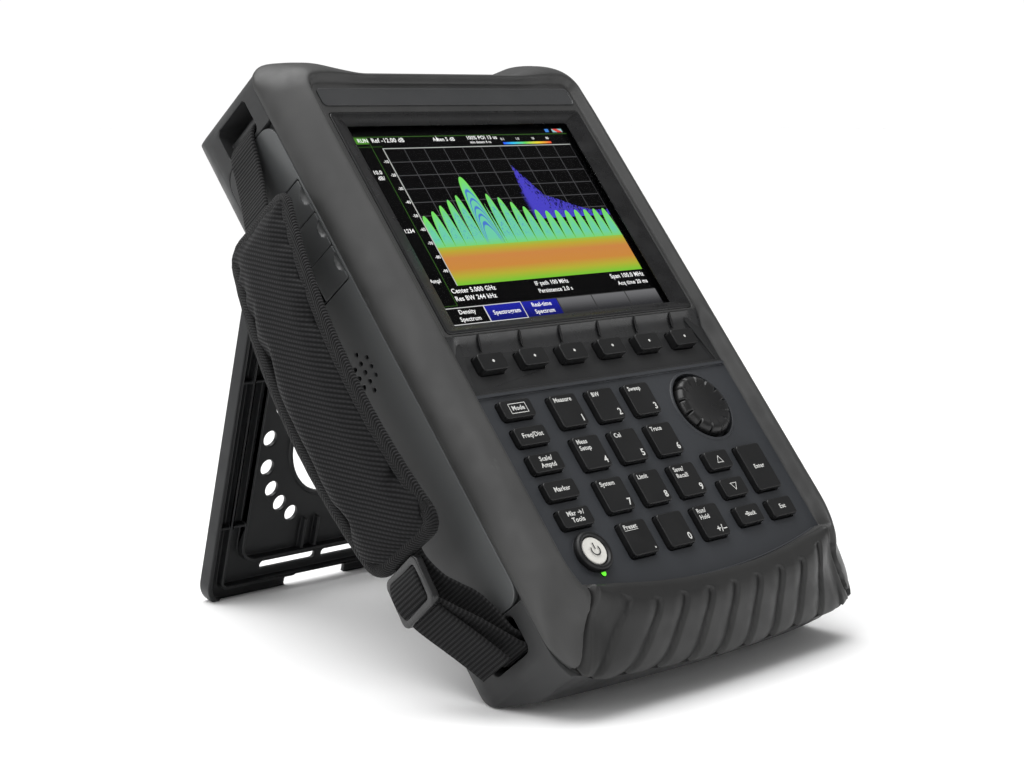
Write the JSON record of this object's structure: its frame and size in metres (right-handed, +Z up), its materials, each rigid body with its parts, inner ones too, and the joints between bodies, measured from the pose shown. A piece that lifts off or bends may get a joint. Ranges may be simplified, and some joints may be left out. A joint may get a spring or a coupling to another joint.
{
  "type": "handheld spectrum analyser",
  "caption": "Rugged handheld spectrum analyser with a tilted display, keypad, control knob, side port doors, hand strap and fold-out kickstand.",
  "frame": {"origin": "middle of the underside of the standing object's box, on the surface that its heel and the kickstand's feet stand on", "axes": "+X to the user's right, +Y back from the display, +Z up"},
  "size_m": [0.2192, 0.268, 0.2505],
  "materials": {
    "key_black": "fine matte",
    "power_white": "satin",
    "rubber_frame": "soft-touch matte",
    "gloss_black": "satin gloss",
    "lens_glass": "clear coated",
    "lcd": "unlit panel",
    "fascia": "fine matte",
    "silicone": "matte",
    "circuit_board": "solder mask",
    "shield_can": "satin",
    "cast_chassis": "cast",
    "encoder_metal": "satin",
    "battery_black": "matte",
    "case_grey": "fine texture",
    "panel_grey": "satin",
    "grip_rubber": "matte",
    "plate_metal": "brushed",
    "connector_gold": "plated",
    "led_green": "lit",
    "webbing": "ribbed weave",
    "pad_fabric": "ballistic weave",
    "buckle_black": "matte",
    "speaker_black": "matte",
    "screw_steel": "dark zinc",
    "knob_black": "fine matte",
    "stand_dark": "fine texture",
    "door_grey": "satin"
  },
  "bodies": {
    "instrument": {"front_bezel": "rubber_frame", "display_frame": "gloss_black", "display_lens": "lens_glass", "lcd_panel": "lcd", "keypad_fascia": "fascia", "key_mat": "silicone", "main_board": "circuit_board", "rf_module": "shield_can", "inner_chassis": "cast_chassis", "rotary_encoder": "encoder_metal", "battery_pack": "battery_black", "rear_case": "case_grey", "side_panel_left": "panel_grey", "side_panel_right": "panel_grey", "bottom_grip": "grip_rubber", "connector_plate": "plate_metal", "rf_ports": "connector_gold", "reference_connectors": "connector_gold", "status_led": "led_green", "strap_webbing": "webbing", "strap_pad": "pad_fabric", "strap_buckle": "buckle_black", "speaker": "speaker_black", "case_screws": "screw_steel"},
    "softkey_1": {"softkey_1": "key_black"},
    "softkey_2": {"softkey_2": "key_black"},
    "softkey_3": {"softkey_3": "key_black"},
    "softkey_4": {"softkey_4": "key_black"},
    "softkey_5": {"softkey_5": "key_black"},
    "softkey_6": {"softkey_6": "key_black"},
    "key_mode": {"key_mode": "key_black"},
    "key_frequency": {"key_frequency": "key_black"},
    "key_scale": {"key_scale": "key_black"},
    "key_marker": {"key_marker": "key_black"},
    "key_tools": {"key_tools": "key_black"},
    "key_1": {"key_1": "key_black"},
    "key_2": {"key_2": "key_black"},
    "key_3": {"key_3": "key_black"},
    "key_4": {"key_4": "key_black"},
    "key_5": {"key_5": "key_black"},
    "key_6": {"key_6": "key_black"},
    "key_7": {"key_7": "key_black"},
    "key_8": {"key_8": "key_black"},
    "key_9": {"key_9": "key_black"},
    "key_point": {"key_point": "key_black"},
    "key_0": {"key_0": "key_black"},
    "key_sign": {"key_sign": "key_black"},
    "key_up": {"key_up": "key_black"},
    "key_down": {"key_down": "key_black"},
    "key_enter": {"key_enter": "key_black"},
    "key_back": {"key_back": "key_black"},
    "key_escape": {"key_escape": "key_black"},
    "power_button": {"power_button": "power_white"},
    "control_knob": {"control_knob": "knob_black"},
    "kickstand": {"kickstand": "stand_dark"},
    "port_door_audio": {"port_door_audio": "door_grey"},
    "port_door_dc": {"port_door_dc": "door_grey"},
    "port_door_power": {"port_door_power": "door_grey"},
    "port_door_right": {"port_door_right": "door_grey"},
    "battery_door": {"battery_door": "door_grey"}
  },
  "joints": [
    {"name": "softkey_1_press", "type": "slide", "parent": "instrument", "child": "softkey_1", "axis": [0, 0.7771, -0.6293], "range_m": [0, 0.001], "stiffness_N_per_m": 600},
    {"name": "softkey_2_press", "type": "slide", "parent": "instrument", "child": "softkey_2", "axis": [0, 0.7771, -0.6293], "range_m": [0, 0.001], "stiffness_N_per_m": 600},
    {"name": "softkey_3_press", "type": "slide", "parent": "instrument", "child": "softkey_3", "axis": [0, 0.7771, -0.6293], "range_m": [0, 0.001], "stiffness_N_per_m": 600},
    {"name": "softkey_4_press", "type": "slide", "parent": "instrument", "child": "softkey_4", "axis": [0, 0.7771, -0.6293], "range_m": [0, 0.001], "stiffness_N_per_m": 600},
    {"name": "softkey_5_press", "type": "slide", "parent": "instrument", "child": "softkey_5", "axis": [0, 0.7771, -0.6293], "range_m": [0, 0.001], "stiffness_N_per_m": 600},
    {"name": "softkey_6_press", "type": "slide", "parent": "instrument", "child": "softkey_6", "axis": [0, 0.7771, -0.6293], "range_m": [0, 0.001], "stiffness_N_per_m": 600},
    {"name": "key_mode_press", "type": "slide", "parent": "instrument", "child": "key_mode", "axis": [0, 0.7771, -0.6293], "range_m": [0, 0.001], "stiffness_N_per_m": 600},
    {"name": "key_frequency_press", "type": "slide", "parent": "instrument", "child": "key_frequency", "axis": [0, 0.7771, -0.6293], "range_m": [0, 0.001], "stiffness_N_per_m": 600},
    {"name": "key_scale_press", "type": "slide", "parent": "instrument", "child": "key_scale", "axis": [0, 0.7771, -0.6293], "range_m": [0, 0.001], "stiffness_N_per_m": 600},
    {"name": "key_marker_press", "type": "slide", "parent": "instrument", "child": "key_marker", "axis": [0, 0.7771, -0.6293], "range_m": [0, 0.001], "stiffness_N_per_m": 600},
    {"name": "key_tools_press", "type": "slide", "parent": "instrument", "child": "key_tools", "axis": [0, 0.7771, -0.6293], "range_m": [0, 0.001], "stiffness_N_per_m": 600},
    {"name": "key_1_press", "type": "slide", "parent": "instrument", "child": "key_1", "axis": [0, 0.7771, -0.6293], "range_m": [0, 0.001], "stiffness_N_per_m": 600},
    {"name": "key_2_press", "type": "slide", "parent": "instrument", "child": "key_2", "axis": [0, 0.7771, -0.6293], "range_m": [0, 0.001], "stiffness_N_per_m": 600},
    {"name": "key_3_press", "type": "slide", "parent": "instrument", "child": "key_3", "axis": [0, 0.7771, -0.6293], "range_m": [0, 0.001], "stiffness_N_per_m": 600},
    {"name": "key_4_press", "type": "slide", "parent": "instrument", "child": "key_4", "axis": [0, 0.7771, -0.6293], "range_m": [0, 0.001], "stiffness_N_per_m": 600},
    {"name": "key_5_press", "type": "slide", "parent": "instrument", "child": "key_5", "axis": [0, 0.7771, -0.6293], "range_m": [0, 0.001], "stiffness_N_per_m": 600},
    {"name": "key_6_press", "type": "slide", "parent": "instrument", "child": "key_6", "axis": [0, 0.7771, -0.6293], "range_m": [0, 0.001], "stiffness_N_per_m": 600},
    {"name": "key_7_press", "type": "slide", "parent": "instrument", "child": "key_7", "axis": [0, 0.7771, -0.6293], "range_m": [0, 0.001], "stiffness_N_per_m": 600},
    {"name": "key_8_press", "type": "slide", "parent": "instrument", "child": "key_8", "axis": [0, 0.7771, -0.6293], "range_m": [0, 0.001], "stiffness_N_per_m": 600},
    {"name": "key_9_press", "type": "slide", "parent": "instrument", "child": "key_9", "axis": [0, 0.7771, -0.6293], "range_m": [0, 0.001], "stiffness_N_per_m": 600},
    {"name": "key_point_press", "type": "slide", "parent": "instrument", "child": "key_point", "axis": [0, 0.7771, -0.6293], "range_m": [0, 0.001], "stiffness_N_per_m": 600},
    {"name": "key_0_press", "type": "slide", "parent": "instrument", "child": "key_0", "axis": [0, 0.7771, -0.6293], "range_m": [0, 0.001], "stiffness_N_per_m": 600},
    {"name": "key_sign_press", "type": "slide", "parent": "instrument", "child": "key_sign", "axis": [0, 0.7771, -0.6293], "range_m": [0, 0.001], "stiffness_N_per_m": 600},
    {"name": "key_up_press", "type": "slide", "parent": "instrument", "child": "key_up", "axis": [0, 0.7771, -0.6293], "range_m": [0, 0.001], "stiffness_N_per_m": 600},
    {"name": "key_down_press", "type": "slide", "parent": "instrument", "child": "key_down", "axis": [0, 0.7771, -0.6293], "range_m": [0, 0.001], "stiffness_N_per_m": 600},
    {"name": "key_enter_press", "type": "slide", "parent": "instrument", "child": "key_enter", "axis": [0, 0.7771, -0.6293], "range_m": [0, 0.001], "stiffness_N_per_m": 600},
    {"name": "key_back_press", "type": "slide", "parent": "instrument", "child": "key_back", "axis": [0, 0.7771, -0.6293], "range_m": [0, 0.001], "stiffness_N_per_m": 600},
    {"name": "key_escape_press", "type": "slide", "parent": "instrument", "child": "key_escape", "axis": [0, 0.7771, -0.6293], "range_m": [0, 0.001], "stiffness_N_per_m": 600},
    {"name": "power_button_press", "type": "slide", "parent": "instrument", "child": "power_button", "axis": [0, 0.7771, -0.6293], "range_m": [0, 0.001], "stiffness_N_per_m": 600},
    {"name": "knob_turn", "type": "hinge", "parent": "instrument", "child": "control_knob", "pos_m": [0.0644, -0.07157, 0.10222], "axis": [0, -0.7771, 0.6293], "continuous": true},
    {"name": "kickstand_fold", "type": "hinge", "parent": "instrument", "child": "kickstand", "pos_m": [0.0156, 0.07788, 0.18746], "axis": [-1, 0, 0], "range_deg": [0, 53.72]},
    {"name": "port_door_audio_swing", "type": "hinge", "parent": "instrument", "child": "port_door_audio", "pos_m": [-0.0767, 0.03583, 0.1813], "axis": [0, -0.6293, -0.7771], "range_deg": [0, 24]},
    {"name": "port_door_dc_swing", "type": "hinge", "parent": "instrument", "child": "port_door_dc", "pos_m": [-0.0767, 0.02558, 0.16863], "axis": [0, -0.6293, -0.7771], "range_deg": [0, 32]},
    {"name": "port_door_power_swing", "type": "hinge", "parent": "instrument", "child": "port_door_power", "pos_m": [-0.0767, 0.01532, 0.15596], "axis": [0, -0.6293, -0.7771], "range_deg": [0, 40]},
    {"name": "port_door_right_swing", "type": "hinge", "parent": "instrument", "child": "port_door_right", "pos_m": [0.1079, 0.02558, 0.16863], "axis": [0, 0.6293, 0.7771], "range_deg": [0, 90]},
    {"name": "battery_door_swing", "type": "hinge", "parent": "instrument", "child": "battery_door", "pos_m": [0.1079, -0.04487, 0.05653], "axis": [0, 0.6293, 0.7771], "range_deg": [0, 90]}
  ]
}
